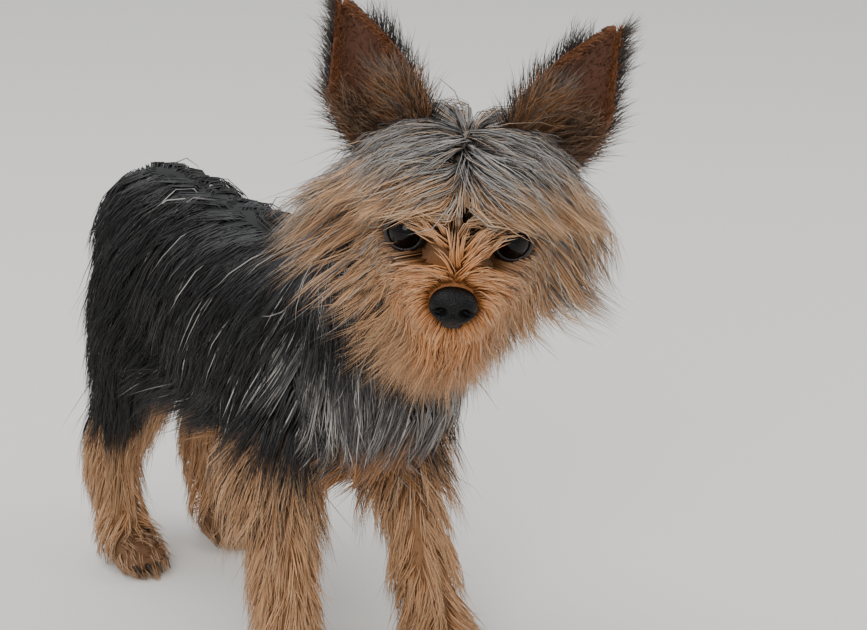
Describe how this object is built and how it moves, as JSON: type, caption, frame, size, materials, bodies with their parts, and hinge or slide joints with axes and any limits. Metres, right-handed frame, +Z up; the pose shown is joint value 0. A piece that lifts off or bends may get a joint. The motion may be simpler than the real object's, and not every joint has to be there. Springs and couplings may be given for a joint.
{
  "type": "yorkshire terrier",
  "caption": "Life-size Yorkshire terrier standing still on four feet, head turned to its right, with upright ears and a trimmed black and tan coat in overlapping locks.",
  "frame": {"origin": "on the ground, below the middle of the standing dog's bounding box", "axes": "+Z up, the body faces -Y, the dog's left side is at +X; the head is turned to the dog's right"},
  "size_m": [0.1145, 0.3171, 0.3011],
  "materials": {
    "black_coat": "long silky near-black hair",
    "steel_coat": "silky steel-grey hair with silver strands",
    "tan_coat": "silky golden tan hair, paler at the tips",
    "ear_skin": "thin skin with short velvety brown hair",
    "eye": "wet, glossy dark brown",
    "nose_leather": "moist black pebbled nose leather"
  },
  "bodies": {
    "root": {"torso": "black_coat", "head": "tan_coat", "muzzle": "tan_coat", "jaw": "tan_coat", "neck": "steel_coat", "foreleg_left": "tan_coat", "foreleg_right": "tan_coat", "thigh_left": "tan_coat", "thigh_right": "tan_coat", "shank_left": "tan_coat", "shank_right": "tan_coat", "forepaw_left": "tan_coat", "forepaw_right": "tan_coat", "hindpaw_left": "tan_coat", "hindpaw_right": "tan_coat", "tail": "black_coat", "ear_left": "ear_skin", "ear_right": "ear_skin", "eye_left": "eye", "eye_right": "eye", "nose": "nose_leather"}
  },
  "joints": []
}
